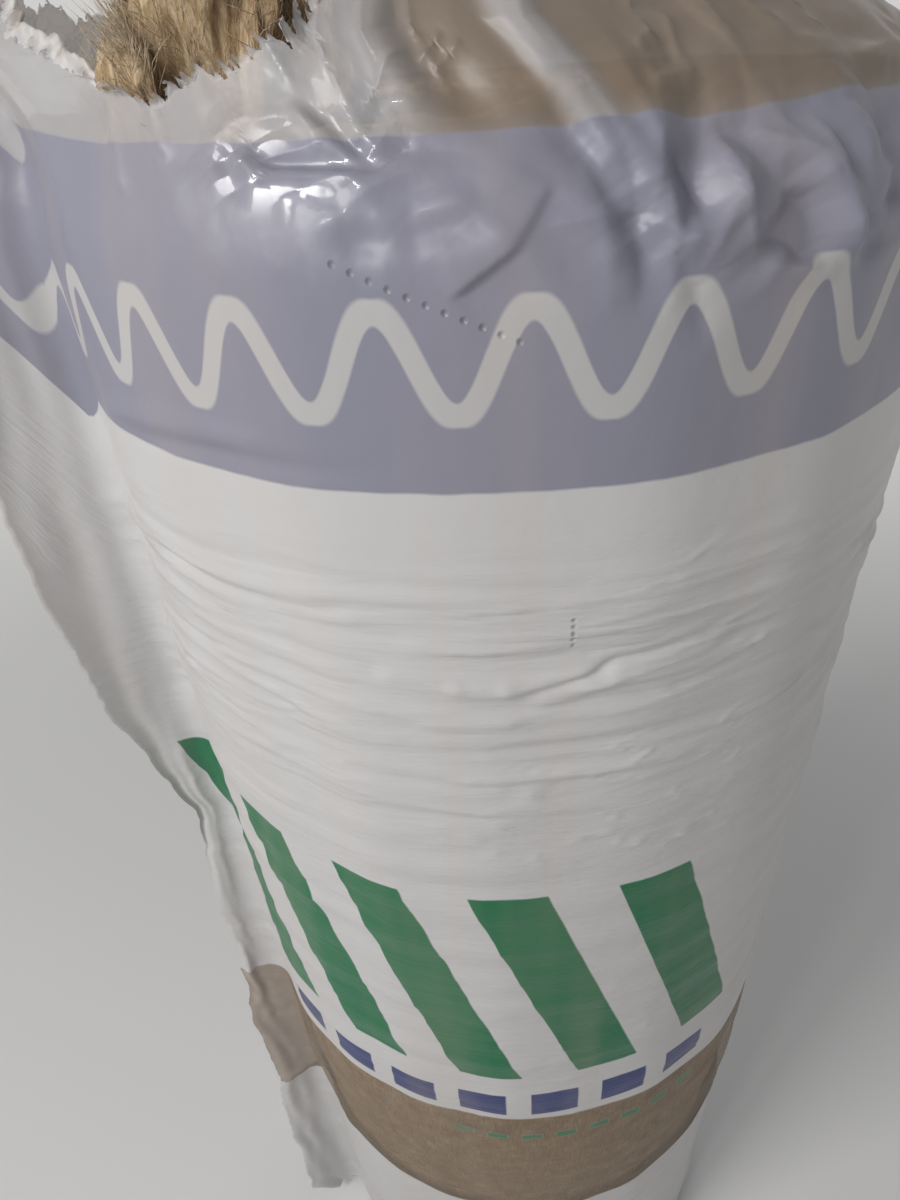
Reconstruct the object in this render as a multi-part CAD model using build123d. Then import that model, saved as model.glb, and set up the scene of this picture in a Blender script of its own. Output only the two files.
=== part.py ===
from build123d import *

import os
from math import cos, pi, radians, sin

# Insulation roll: a blanket of glass wool, rolled tight and stood on its end in a plastic film sleeve.
# Millimetres, +Z up. The origin is the middle of the foot, on the floor. The front is -Y, and an
# azimuth is measured from the front, positive towards +X. Each piece is written to parts/NODE.step.

# Wool blanket, rolled up
roll_width = 1140.0  # cut width of the blanket, which is the height of the standing roll
roll_diameter = 446.0
eye_diameter = 36.0  # hole left at the middle of the winding
turn_pitch = 25.5  # compressed thickness of the blanket
groove_width = 4.0  # gap between two turns, as it shows on the ends
groove_depth = 8.0
shoulder_radius = 45.0  # soft outer edge of the upper end
shoulder_flat_count = 4  # narrow cones that draw that edge
foot_radius = 22.0  # soft outer edge of the lower end
foot_flat_count = 3
foot_draw_in = 6.0  # how much thinner the roll is at its foot, in radius
draw_in_start = 400.0  # where it starts to draw in
draw_in_end = 320.0

# Film sleeve
film_wall = 1.2  # stands for the thin film, its folds and the air under it
film_slack = 0.8  # room between the wool and the film
seat_gap = 0.3  # between the wool and the film that it stands on
foot_hole_diameter = 100.0  # where the film turned under the foot ends
crown_rise = 120.0  # height of the loose film above the start of the shoulder
crown_lean = 18.0  # how far the loose film leans to the left
crown_top_radius = 88.0  # its blunt top, where the gathers meet
crease_depth = 7.0  # depth of the gathers in the loose film
crown_lap = 4.0  # how far the loose film runs down over the straight side
lap_step = 0.4  # and how far it stands out there
crown_point_count = 24  # points round each wavy outline of the loose film
bend_in = 36.0  # radius of its bend over the shoulder, level
bend_up = 52.0  # and upright

# Torn mouth in the crown
mouth_width = 206.0
mouth_reach = 166.0
mouth_azimuth = -38.0
mouth_slope = 50.0  # degrees that the tear faces up from level
mouth_radius = 122.0  # place of its middle, from the roll's axis
mouth_below_top = 26.0  # and from the top of the crown
mouth_cut = 50.0  # how far the cut runs to either side of its middle
tooth_count = 17
tooth_depth = 9.0

# Fin: spare film along the weld of the sleeve, standing out at the left
fin_azimuth = -66.0
fin_root_width = 13.0
fin_edge_width = 2.6
fin_sway = 5.0  # how far the edge wanders to either side
fin_sway_turn = 9.0  # radians of that wander from foot to top
fin_top_draw_in = 4.0  # how far its root follows the crown inwards at its top
fin_low_reach = 45.0  # how far it stands out near the floor
fin_waist_reach = 26.0  # where it is narrowest
fin_high_reach = 66.0  # where it is widest, below the shoulder
fin_waist_share = 0.56  # heights of those places, as shares of the fin's own height
fin_high_share = 0.83
fin_top_share = 0.5  # how far up the crown it runs

roll_radius = roll_diameter / 2
film_inside = roll_radius + film_slack
film_radius = film_inside + film_wall
wool_foot = film_wall + seat_gap
wool_top = wool_foot + roll_width
foot_start = wool_foot + foot_radius
shoulder_start = wool_top - shoulder_radius
crown_top = shoulder_start + crown_rise


def polar(radius, azimuth, height=0.0):
    """A point at a radius, an azimuth in degrees from the front, and a height."""
    return Vector(radius * sin(radians(azimuth)), -radius * cos(radians(azimuth)), height)


def side_points(radius):
    """The roll's side from its foot upwards, in the XZ plane: a little thinner in its lower part."""
    thin = radius - foot_draw_in
    return [(thin, 0, foot_start), (thin, 0, draw_in_end), (radius, 0, draw_in_start), (radius, 0, shoulder_start)]


def soft_corner(middle_x, middle_z, radius, low, high, flats):
    """Points round a soft edge in the XZ plane, from one angle in degrees to another."""
    turn = [radians(low + (high - low) * i / flats) for i in range(flats + 1)]
    return [(middle_x + radius * cos(a), 0, middle_z + radius * sin(a)) for a in turn]


def turned(points):
    """The solid that a closed outline in the XZ plane makes when it turns about the upright axis."""
    return revolve(make_face(Polyline(*points, close=True)), Axis.Z, 360)


def turn_groove(middle_height, reach):
    """The gap between the turns: a band of half circles that widen by half a pitch each time."""
    arcs = {1: [], -1: []}
    radius, middle, heading = eye_diameter / 2, 0.0, 1
    while radius + turn_pitch / 2 < reach:
        for side in arcs:
            edge = radius + side * groove_width / 2
            points = [(middle + heading * edge, 0), (middle, heading * edge), (middle - heading * edge, 0)]
            arcs[side].append(ThreePointArc(*points))
        radius += turn_pitch / 2
        middle += heading * turn_pitch / 2
        heading = -heading
    ends = [Line(arcs[1][i] @ i, arcs[-1][i] @ i) for i in (0, -1)]
    band = make_face(arcs[1] + arcs[-1] + ends)
    return extrude(band.moved(Location((0, 0, middle_height))), groove_depth, both=True)


def make_wool_roll():
    """One turned solid with its eye. A spiral groove on both ends shows the turns."""
    eye = eye_diameter / 2
    foot_x = roll_radius - foot_draw_in - foot_radius
    shoulder_x = roll_radius - shoulder_radius
    outline = (
        [(eye, 0, wool_foot)]
        + soft_corner(foot_x, foot_start, foot_radius, -90, 0, foot_flat_count)
        + side_points(roll_radius)[1:]
        + soft_corner(shoulder_x, shoulder_start, shoulder_radius, 0, 90, shoulder_flat_count)[1:]
        + [(eye, 0, wool_top)]
    )
    roll = turned(outline)
    roll -= turn_groove(wool_top, shoulder_x)
    roll -= turn_groove(wool_foot, foot_x)
    return roll


def make_sleeve():
    """The straight part of the film: turned in under the foot, round its edge and up the side."""
    hole = foot_hole_diameter / 2
    foot_x = roll_radius - foot_draw_in - foot_radius
    wool_edge = soft_corner(foot_x, foot_start, foot_radius, -90, 0, foot_flat_count)

    def skin(out, down):
        """The foot's soft edge, moved out and down together, from underneath to the side."""
        turn = [(x - foot_x, z - foot_start) for x, _, z in wool_edge]
        wider, deeper = 1 + out / foot_radius, 1 + down / foot_radius
        return [(foot_x + x * wider, 0, foot_start + z * deeper) for x, z in turn]

    outside = skin(film_slack + film_wall, wool_foot) + side_points(film_radius)[1:]
    inside = skin(film_slack, seat_gap) + side_points(film_inside)[1:]
    return turned([(hole, 0, 0)] + outside + inside[::-1] + [(hole, 0, film_wall)])


def crown_section(rise, radius, inset):
    """A closed wavy outline of the loose film, at a rise above the start of the shoulder."""
    loose = min(max((rise - 0.3 * shoulder_radius) / (crown_rise / 2), 0.0), 1.0)
    points = []
    for i in range(crown_point_count):
        a = 2 * pi * i / crown_point_count
        wave = 0.6 * sin(3 * a + 0.6) + 0.5 * sin(5 * a + 2.1)
        r = radius + crease_depth * loose * min(wave, 0.6) * radius / film_radius - inset
        points.append((r * sin(a) - crown_lean * loose**2, -r * cos(a), shoulder_start + rise))
    return Wire(Spline(*points, periodic=True))


def make_crown():
    """The loose film: it bends in over the wool's shoulder, then closes in gathers to a blunt top."""
    levels = [(-crown_lap, film_radius), (crown_lap / 2, film_radius)]
    for turn in (20, 40, 60):
        levels.append((bend_up * sin(radians(turn)), film_radius - bend_in * (1 - cos(radians(turn)))))
    for rise, radius in ((0.5, 0.89), (0.66, 0.82), (0.82, 0.7), (0.94, 0.55)):
        levels.append((rise * crown_rise, radius * film_radius))
    levels.append((crown_rise, crown_top_radius))
    outside = [crown_section(rise, radius, -lap_step) for rise, radius in levels]
    inside = [crown_section(rise - film_wall, radius, film_wall - lap_step) for rise, radius in levels]
    return Solid.make_loft(outside, ruled=True) - Solid.make_loft(inside, ruled=True)


def make_mouth_cutter():
    """A prism with a ragged outline, aimed into the crown from the front left and above."""
    out = polar(cos(radians(mouth_slope)), mouth_azimuth, sin(radians(mouth_slope)))
    middle = polar(mouth_radius, mouth_azimuth, crown_top - mouth_below_top)
    plane = Plane(origin=middle, x_dir=polar(1, mouth_azimuth + 90), z_dir=out)
    corners = []
    for i in range(2 * tooth_count):
        a = 2 * pi * (i + 0.3 * sin(2.3 * i)) / (2 * tooth_count)
        bite = tooth_depth * (0.5 + 0.5 * sin(1.7 * i)) if i % 2 else 0.0
        corners.append(((mouth_width / 2 - bite) * cos(a), (mouth_reach / 2 - bite) * sin(a)))
    outline = plane * make_face(Polyline(*corners, close=True))
    return extrude(outline, mouth_cut, both=True)


def fin_section(share, reach):
    """The fin's outline at a share of its height: broad where it leaves the roll, thin at its edge."""
    height = foot_start + (shoulder_start + fin_top_share * crown_rise - foot_start) * share
    below = min(max((draw_in_start - height) / (draw_in_start - draw_in_end), 0), 1)
    above = max(height - shoulder_start, 0) / (fin_top_share * crown_rise)
    root = film_radius - film_wall / 2 - foot_draw_in * below - fin_top_draw_in * above
    out, across = polar(1, fin_azimuth), polar(1, fin_azimuth + 90)
    sway = fin_sway * sin(fin_sway_turn * share + 0.5)
    points = []
    for side in (-1, 1):
        points.append(out * root + across * (side * fin_root_width / 2))
        points.append(out * (root + reach) + across * (side * fin_edge_width / 2 + sway))
    points = [points[0], points[1], points[3], points[2]]
    return Wire(Polyline(*[(p.X, p.Y, height) for p in points], close=True))


def make_fin():
    """The fin of spare film along the sleeve's weld: narrow at its waist, widest below the shoulder."""
    side_height = shoulder_start - foot_start
    shoulder_share = side_height / (side_height + fin_top_share * crown_rise)
    places = [
        (0.0, 0.7 * fin_low_reach),
        (0.06, fin_low_reach),
        ((draw_in_end - foot_start) / side_height * shoulder_share, 0.93 * fin_low_reach),
        ((draw_in_start - foot_start) / side_height * shoulder_share, 0.45 * fin_low_reach + 0.55 * fin_waist_reach),
        (fin_waist_share, fin_waist_reach),
        (0.35 * fin_waist_share + 0.65 * fin_high_share, 0.75 * fin_high_reach),
        (fin_high_share, fin_high_reach),
        (shoulder_share, 0.72 * fin_high_reach),
        (1.0, 0.3 * fin_high_reach),
    ]
    return Solid.make_loft([fin_section(share, reach) for share, reach in places], ruled=True)


def make_film_wrap():
    """The whole sleeve: side and foot, crown with its torn mouth, and the fin."""
    crown = make_crown() - make_mouth_cutter()
    return make_sleeve() + crown + make_fin()


os.makedirs("parts", exist_ok=True)
for name, shape in (("wool_roll", make_wool_roll()), ("film_wrap", make_film_wrap())):
    shape.label = name
    export_step(shape, f"parts/{name}.step")
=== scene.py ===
import bmesh
import bpy
import numpy as np
from mathutils import Matrix, Vector


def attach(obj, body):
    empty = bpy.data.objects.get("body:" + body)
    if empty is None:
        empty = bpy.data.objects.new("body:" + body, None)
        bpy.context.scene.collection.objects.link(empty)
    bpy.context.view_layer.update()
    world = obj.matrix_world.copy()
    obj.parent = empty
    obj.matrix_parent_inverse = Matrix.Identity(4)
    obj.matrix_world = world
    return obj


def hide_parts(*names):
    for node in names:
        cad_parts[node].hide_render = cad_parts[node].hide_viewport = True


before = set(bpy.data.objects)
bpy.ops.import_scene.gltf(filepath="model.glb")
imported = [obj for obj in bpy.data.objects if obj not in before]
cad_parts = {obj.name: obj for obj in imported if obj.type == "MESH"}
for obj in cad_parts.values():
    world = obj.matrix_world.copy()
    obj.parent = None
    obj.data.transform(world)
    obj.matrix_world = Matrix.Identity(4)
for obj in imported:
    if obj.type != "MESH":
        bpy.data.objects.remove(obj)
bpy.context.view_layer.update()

# Metres, +Z up, the front is -Y. An azimuth is measured from the front, positive towards +X. The numbers
# that start a random generator or a field of waves are called seeds.


# The wool blanket: glass wool squeezed and wound round a small eye, golden brown and fibrous. Its cut
# ends show the turns as a spiral, and its soft edges are rounded by the pull of the sleeve.

roll_radius = 0.2205
roll_foot = 0.0015
roll_top = 1.1415
eye_radius = 0.018
turn_pitch = 0.0255
shoulder_radius = 0.058
foot_radius = 0.022
foot_draw_in = 0.006
draw_in_end, draw_in_start = 0.32, 0.40


def smooth(low, high, value):
    """0 below low, 1 above high, and an even S curve between them."""
    t = np.clip((value - low) / (high - low), 0, 1)
    return t * t * (3 - 2 * t)


def swell(places, sizes, seed, count=14, whole=False):
    """Smooth random field of unit spread: sines of random direction and phase, added up. places are
    arrays of coordinates and sizes their wavelengths. whole gives each sine a whole number of waves in a
    full turn of the first coordinate, so that the field closes round the roll."""
    rng = np.random.default_rng(seed)
    heading = rng.normal(size=(count, len(places)))
    heading /= np.linalg.norm(heading, axis=1, keepdims=True)
    rates = heading * rng.uniform(0.55, 1.45, (count, 1)) * 2 * np.pi / np.array(sizes)
    if whole:
        rates[:, 0] = np.rint(rates[:, 0])
    phases = rng.uniform(0, 2 * np.pi, count)
    total = 0.0
    for rate, phase in zip(rates, phases):
        total = total + np.sin(sum(r * place for r, place in zip(rate, places)) + phase)
    return total / np.sqrt(count / 2)


def grid_quads(rows, columns, closed):
    """Point numbers of the quads of a grid, and the row and column of each quad's first corner. A closed
    grid joins its last column to its first."""
    last = columns if closed else columns - 1
    row, column = np.meshgrid(np.arange(rows - 1), np.arange(last), indexing="ij")
    ahead = (column + 1) % columns
    start, above = row * columns, (row + 1) * columns
    corners = [start + column, start + ahead, above + ahead, above + column]
    return np.stack(corners, -1).reshape(-1, 4), row, column


def quad_mesh(name, points, quads):
    """A smooth mesh of quads."""
    mesh = bpy.data.meshes.new(name)
    mesh.vertices.add(len(points))
    mesh.vertices.foreach_set("co", points.reshape(-1).astype(np.float32))
    mesh.loops.add(quads.size)
    mesh.loops.foreach_set("vertex_index", quads.reshape(-1).astype(np.int32))
    mesh.polygons.add(len(quads))
    mesh.polygons.foreach_set("loop_start", np.arange(0, quads.size, 4, dtype=np.int32))
    mesh.update(calc_edges=True)
    mesh.polygons.foreach_set("use_smooth", np.ones(len(quads), dtype=bool))
    return mesh


def solid_piece(name, grids):
    """One piece from an array of like closed grids (grid, row, column, coordinate): their points that
    coincide, as at the poles, are merged, and their faces are turned outwards."""
    count, rows, columns = grids.shape[:3]
    quads, _, _ = grid_quads(rows, columns, True)
    quads = (quads[None] + (np.arange(count) * rows * columns)[:, None, None]).reshape(-1, 4)
    mesh = quad_mesh(name, grids.reshape(-1, 3), quads)
    shape = bmesh.new()
    shape.from_mesh(mesh)
    bmesh.ops.remove_doubles(shape, verts=shape.verts, dist=1e-6)
    bmesh.ops.recalc_face_normals(shape, faces=shape.faces)
    shape.to_mesh(mesh)
    shape.free()
    piece = bpy.data.objects.new(name, mesh)
    bpy.context.scene.collection.objects.link(piece)
    return piece


def wool_end(x, y, seed):
    """Height of the blanket's cut end over its flat level: a groove along the spiral between two turns,
    and lumps of wool at two sizes."""
    radius, around = np.hypot(x, y), np.arctan2(x, -y)
    wander = 0.0015 * swell((x, y), (0.09, 0.09), seed)
    turn = (radius - eye_radius + wander) / turn_pitch - around / (2 * np.pi)
    aside = np.abs(turn - np.rint(turn)) * turn_pitch
    groove = -0.0075 * np.exp(-((aside / 0.0026) ** 2)) - 0.002 * np.exp(-((aside / 0.006) ** 2))
    flat_radius = roll_radius - shoulder_radius
    on_flat = 1 - smooth(flat_radius - 0.012, flat_radius, radius)
    lumps = 0.0014 * swell((x, y), (0.05, 0.05), seed + 1)
    lumps = lumps + 0.0009 * swell((x, y), (0.012, 0.012), seed + 2, 24)
    return groove * on_flat + lumps * smooth(eye_radius, eye_radius + 0.01, radius)


def wool_profile(count_end, count_side):
    """Radius and height of the roll's outline, from the eye over the top, down the side and back to the
    eye underneath: straight runs and quarter circles."""
    quarter = np.linspace(0, np.pi / 2, 16)
    top_x, foot_x = roll_radius - shoulder_radius, roll_radius - foot_draw_in - foot_radius
    end = np.linspace(eye_radius, top_x, count_end)
    side = np.linspace(roll_top - shoulder_radius, roll_foot + foot_radius, count_side)
    under = np.linspace(foot_x, eye_radius, count_end // 2)
    thin = foot_draw_in * (1 - np.clip((side - draw_in_end) / (draw_in_start - draw_in_end), 0, 1))
    radius = [end, top_x + shoulder_radius * np.sin(quarter[1:]), roll_radius - thin[1:-1]]
    height = [np.full(count_end, roll_top), roll_top - shoulder_radius * (1 - np.cos(quarter[1:]))]
    height += [side[1:-1], roll_foot + foot_radius * (1 - np.sin(quarter))]
    height += [np.full(count_end // 2 - 1, roll_foot), [roll_top]]
    radius += [foot_x + foot_radius * np.cos(quarter), under[1:], end[:1]]
    return np.concatenate(radius), np.concatenate(height)


def wool_points(count_end, count_side, columns):
    """The outline turned about the axis, with the cut ends carved by wool_end. Where the film is torn the
    turns are pulled up in a soft mound, and the side has shallow dents only."""
    radius, height = wool_profile(count_end, count_side)
    around = np.linspace(-np.pi, np.pi, columns, endpoint=False)
    x, y = np.outer(radius, np.sin(around)), np.outer(radius, -np.cos(around))
    z = np.repeat(height[:, None], columns, 1)
    upper = smooth(roll_top - shoulder_radius, roll_top - 0.01, z)
    lower = 1 - smooth(roll_foot, roll_foot + foot_radius, z)
    mound = np.exp(-(((x + 0.1) / 0.05) ** 2) - ((y + 0.1) / 0.05) ** 2)
    z = z + upper * (wool_end(x, y, 3) + 0.012 * mound) - lower * np.minimum(wool_end(x, y, 8), 0.0)
    dents = 0.0007 * swell((around[None, :], z), (0.05 / roll_radius, 0.05), 5, whole=True)
    scale = 1 + (1 - upper) * (1 - lower) * (dents - 0.0012) / np.maximum(np.hypot(x, y), eye_radius)
    return np.stack([x * scale, y * scale, z], -1)


def noise(tree, vector, scale, detail=3.0, roughness=0.55, distortion=0.0):
    """A noise texture on a vector, in waves per metre."""
    node = tree.nodes.new("ShaderNodeTexNoise")
    node.inputs["Scale"].default_value = scale
    node.inputs["Detail"].default_value = detail
    node.inputs["Roughness"].default_value = roughness
    node.inputs["Distortion"].default_value = distortion
    tree.links.new(vector, node.inputs["Vector"])
    return node.outputs["Fac"]


def ramp(tree, value, stops):
    """A colour ramp through (place, colour) stops."""
    node = tree.nodes.new("ShaderNodeValToRGB")
    tree.links.new(value, node.inputs["Fac"])
    while len(node.color_ramp.elements) < len(stops):
        node.color_ramp.elements.new(0.5)
    for element, (place, colour) in zip(node.color_ramp.elements, stops):
        element.position = place
        element.color = (*colour, 1.0)
    return node.outputs["Color"]


def stretched(tree, source, scale, turn=(0.0, 0.0, 0.0)):
    """A vector turned and stretched by a Mapping node."""
    node = tree.nodes.new("ShaderNodeMapping")
    node.inputs["Scale"].default_value = scale
    node.inputs["Rotation"].default_value = turn
    tree.links.new(source, node.inputs["Vector"])
    return node.outputs["Vector"]


def calc(tree, kind, first, second=0.0, third=0.0):
    """One Math node. Each input is a number or another node's output."""
    node = tree.nodes.new("ShaderNodeMath")
    node.operation = kind
    for socket, value in zip(node.inputs, (first, second, third)):
        if isinstance(value, (int, float)):
            socket.default_value = value
        else:
            tree.links.new(value, socket)
    return node.outputs[0]


def blend_colour(tree, amount, first, second):
    """Mixes two colours by an amount. Each is a colour or another node's output."""
    node = tree.nodes.new("ShaderNodeMix")
    node.data_type = "RGBA"
    for socket, value in ((node.inputs[0], amount), (node.inputs[6], first), (node.inputs[7], second)):
        if isinstance(value, (int, float)):
            socket.default_value = value
        elif isinstance(value, tuple):
            socket.default_value = (*value, 1.0)
        else:
            tree.links.new(value, socket)
    return node.outputs[2]


def relief(tree, shader, height, distance):
    """A Bump node from a height to the shader's Normal. distance is in metres, for a height of 1."""
    node = tree.nodes.new("ShaderNodeBump")
    node.inputs["Strength"].default_value = 1.0
    node.inputs["Distance"].default_value = distance
    tree.links.new(height, node.inputs["Height"])
    tree.links.new(node.outputs["Normal"], shader.inputs["Normal"])


def glass_wool(name, pale):
    """Golden brown wool: fine strands in two directions over soft clots, matt. pale is the share of the
    lighter tone of single strands."""
    material = bpy.data.materials.new(name)
    material.use_nodes = True
    tree = material.node_tree
    shader = tree.nodes["Principled BSDF"]
    place = tree.nodes.new("ShaderNodeTexCoord").outputs["Object"]
    upright = stretched(tree, place, (1.0, 1.0, 0.13), (0.35, 0.25, 0.4))
    strands = noise(tree, upright, 640.0, 4.0, 0.65, 0.7)
    slanting = stretched(tree, place, (1.0, 1.0, 0.2), (0.2, 0.9, 0.1))
    cross = noise(tree, slanting, 330.0, 4.0, 0.65, 1.0)
    clots = noise(tree, place, 60.0, 5.0, 0.65)
    fibres = calc(tree, "MULTIPLY_ADD", strands, 0.6, calc(tree, "MULTIPLY", cross, 0.4))
    mixed = calc(tree, "MULTIPLY_ADD", clots, 0.45, calc(tree, "MULTIPLY", fibres, 0.55))
    dark, middle, light = (0.2, 0.12, 0.06), (0.5, 0.35, 0.2), (0.86, 0.71, 0.49)
    colour = ramp(tree, mixed, [(0.32, dark), (0.49, middle), (0.64, light)])
    colour = blend_colour(tree, pale, colour, (0.85, 0.74, 0.56))
    tree.links.new(colour, shader.inputs["Base Color"])
    shader.inputs["Roughness"].default_value = 0.92
    shader.inputs["Sheen Weight"].default_value = 0.25
    shader.inputs["Sheen Roughness"].default_value = 0.5
    shader.inputs["Specular IOR Level"].default_value = 0.25
    relief(tree, shader, mixed, 0.0035)
    return material


wool = glass_wool("wool", 0.0)
wool_blanket = solid_piece("wool_blanket", wool_points(112, 40, 380)[None])
wool_blanket.data.materials.append(wool)
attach(wool_blanket, "root")
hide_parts("wool_roll")


# Leaves of wool that the tear has pulled up out of the turns, and the loose fibres on them: the same
# glass wool, opened up and paler, standing on the end of the blanket inside the torn mouth.

leaf_root = 1.128
fibre_count = 15000
lean_start, lean_rise, lean_reach = 1.11, 0.06, 0.018

# Radius and height of the film's shoulder. The first four places lie below the torn edge.
film_shoulder = ((0.2228, 1.1142), (0.2170, 1.1298), (0.2085, 1.1424), (0.1995, 1.1565), (0.1845, 1.1757))


def crown_lean(height):
    """How far the film over the roll leans to the left: it grows by the square of the height over
    lean_start, up to lean_reach."""
    return lean_reach * np.clip((height - lean_start) / lean_rise, 0, 1) ** 2


def inside_film(points):
    """Points below the torn edge, moved towards the roll's axis to 3 mm inside the film, whose distance
    from the axis falls with the height. Over the torn edge there is room for all of them."""
    x, y, z = np.moveaxis(points, -1, 0)
    radius, height = np.array(film_shoulder[:4]).T
    room = np.interp(z, np.append(height, 1.172), np.append(radius - 0.003, 0.215))
    lean = crown_lean(z)
    scale = np.minimum(room / np.maximum(np.hypot(x + lean, y), 1e-6), 1)
    return np.stack([(x + lean) * scale - lean, y * scale, z], -1)


def wool_leaves(count, rows, columns):
    """Flattened ellipsoids set along the turns, swollen and eaten by smooth fields of two sizes. Their
    places fill the mouth evenly, because one coordinate goes up by equal steps and the other by a share
    of its range that never repeats, and their tops are lower towards the left."""
    rng = np.random.default_rng(15)
    step = (np.arange(count) + 0.5) / count
    middle_x = -0.152 + 0.094 * step + rng.uniform(-0.004, 0.004, count)
    middle_y = -0.152 + 0.098 * ((step * 5.236 + 0.3) % 1.0) + rng.uniform(-0.004, 0.004, count)
    top = 1.150 + 0.043 * smooth(-0.146, -0.102, middle_x) + rng.uniform(-0.007, 0.005, count)
    heading = np.arctan2(-middle_x, middle_y) + rng.uniform(-0.5, 0.5, count)
    wide, thick = rng.uniform(0.013, 0.024, count), rng.uniform(0.0045, 0.0085, count)
    middle_z, high = 0.5 * (top + leaf_root), 0.5 * (top - leaf_root)
    lean_x, lean_y = rng.uniform(-0.3, 0.3, (2, count))
    leaf_values = np.stack([middle_x, middle_y, middle_z, heading, wide, thick, high, lean_x, lean_y])
    middle_x, middle_y, middle_z, heading, wide, thick, high, lean_x, lean_y = leaf_values[..., None, None]
    rise = np.linspace(-np.pi / 2, np.pi / 2, rows)[None, :, None]
    turn = np.linspace(0, 2 * np.pi, columns, endpoint=False)[None, None, :]
    along = wide * np.cos(rise) ** 0.6 * np.cos(turn)
    across = thick * np.cos(rise) ** 0.6 * np.sin(turn)
    up = high * np.sin(rise) + 0 * turn
    x = middle_x + along * np.cos(heading) - across * np.sin(heading) + lean_x * up
    y = middle_y + along * np.sin(heading) + across * np.cos(heading) + lean_y * up
    z = middle_z + up
    out = np.stack([x - middle_x, y - middle_y, 0.3 * (z - middle_z)], -1)
    out /= np.maximum(np.linalg.norm(out, axis=-1, keepdims=True), 1e-9)
    push = 0.0036 * swell((x, y, z), (0.025, 0.025, 0.036), 61, 24)
    push = push + 0.0017 * swell((x, y, z), (0.008, 0.008, 0.03), 62, 30)
    return inside_film(np.stack([x, y, z], -1) + out * (push * np.cos(rise) ** 0.5)[..., None])


def loose_fibres(roots, outwards, seed):
    """Thin spindles of three sides, one from each root. Neighbours set off in much the same direction,
    upwards and a little outwards, and each bends aside by the square of the way along it."""
    rng = np.random.default_rng(seed)
    count = len(roots)
    waves = (0.03, 0.03, 0.05)
    combed = np.stack([swell(tuple(roots.T), waves, seed + way, 8) for way in (1, 2, 3)], -1)
    aim = 0.3 * outwards + 0.38 * combed + rng.normal(0, 0.2, (count, 3)) + np.array([0, 0, 0.75])
    aim /= np.linalg.norm(aim, axis=1, keepdims=True)
    side = np.cross(aim, rng.normal(size=(count, 3)))
    side /= np.linalg.norm(side, axis=1, keepdims=True)
    third = np.cross(aim, side)
    long = rng.uniform(0.006, 0.021, count)[:, None]
    bend = rng.normal(0, 0.28, (count, 1)) * long
    step = np.linspace(0, 1, 4)[None, :, None]
    line = roots[:, None] + (aim * long)[:, None] * (step - 0.12) + (side * bend)[:, None] * step**2
    girth = 0.00016 * np.sqrt(np.clip(4 * step * (1 - step), 0, 1))
    turn = 2 * np.pi * np.arange(3)[None, None, :, None] / 3
    ring = side[:, None, None] * np.cos(turn) + third[:, None, None] * np.sin(turn)
    return line[:, :, None] + ring * girth[..., None]


leaves = wool_leaves(20, 44, 56)
wool_tufts = solid_piece("wool_tufts", leaves)

# The fibres root in the leaves' upper rows, wherever the film leaves room for their tips.
leaf_middle = leaves.mean(axis=(1, 2), keepdims=True)
leaf_points = leaves[:, 12:, :].reshape(-1, 3)
leaf_out = (leaves[:, 12:, :] - leaf_middle).reshape(-1, 3)
leaf_out /= np.linalg.norm(leaf_out, axis=1, keepdims=True)
fibre_tips = leaf_points + 0.005 * leaf_out + np.array([0, 0, 0.013])
covered = np.linalg.norm(inside_film(fibre_tips) - fibre_tips, axis=1) > 1e-9
chosen = np.random.default_rng(17).choice(np.flatnonzero(~covered), fibre_count, replace=False)
wool_fibres = solid_piece("wool_fibres", loose_fibres(leaf_points[chosen], leaf_out[chosen], 18))
for piece, finish in ((wool_tufts, wool), (wool_fibres, glass_wool("loose_wool", 0.3))):
    piece.data.materials.append(finish)
    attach(piece, "root")
    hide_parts("wool_roll")


# The film sleeve: white polythene printed in grey, green and blue, drawn on to the roll by its own pull,
# turned in under the foot, gathered over the top and torn open at the front left. Above the grey band and
# in a window low on the roll the film is unprinted and shows the wool.

film_radius = 0.2246
print_radius = 0.225
film_foot = 0.0007
foot_hole = 0.05
foot_bend = 0.024
fin_degrees = -66.0
fin_azimuth = np.radians(fin_degrees)
band_foot, band_top = 1.031, 1.1475
crown_start = 1.0965
crown_top = 1.2165


def film_profile():
    """Radius and height of the film against the length along it, which equals the height on the straight
    side: flat under the foot, a quarter circle, the side, and a soft dome. A running mean over 17 mm
    rounds the corners."""
    thin = film_radius - foot_draw_in
    quarter = np.radians(np.arange(-90, 1, 15))
    outline = [(foot_hole, film_foot)]
    bend_x, bend_y = thin - foot_bend, film_foot + foot_bend
    outline += [(bend_x + foot_bend * np.cos(a), bend_y + foot_bend * np.sin(a)) for a in quarter]
    outline += [(thin, draw_in_end), (film_radius, draw_in_start), (film_radius, crown_start)]
    start = len(outline) - 1
    outline += film_shoulder
    outline += [(0.1575, 1.1949), (0.1238, 1.2085), (0.088, crown_top - 0.001), (0.0, crown_top)]
    radius, height = np.array(outline).T
    length = np.concatenate([[0], np.cumsum(np.hypot(np.diff(radius), np.diff(height)))])
    length += crown_start - length[start]
    fine = np.arange(length[0], length[-1], 0.001)
    ends = 8
    kernel = np.ones(2 * ends + 1) / (2 * ends + 1)
    tables = []
    for values in (radius, height):
        table = np.interp(fine, length, values)
        before = 2 * table[0] - table[ends:0:-1]
        after = 2 * table[-1] - table[-2 : -ends - 2 : -1]
        tables.append(np.convolve(np.concatenate([before, table, after]), kernel, "valid"))
    return fine, tables[0], tables[1]


profile_length, profile_radius, profile_height = film_profile()
crown_span = profile_length[-1] - crown_start


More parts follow.
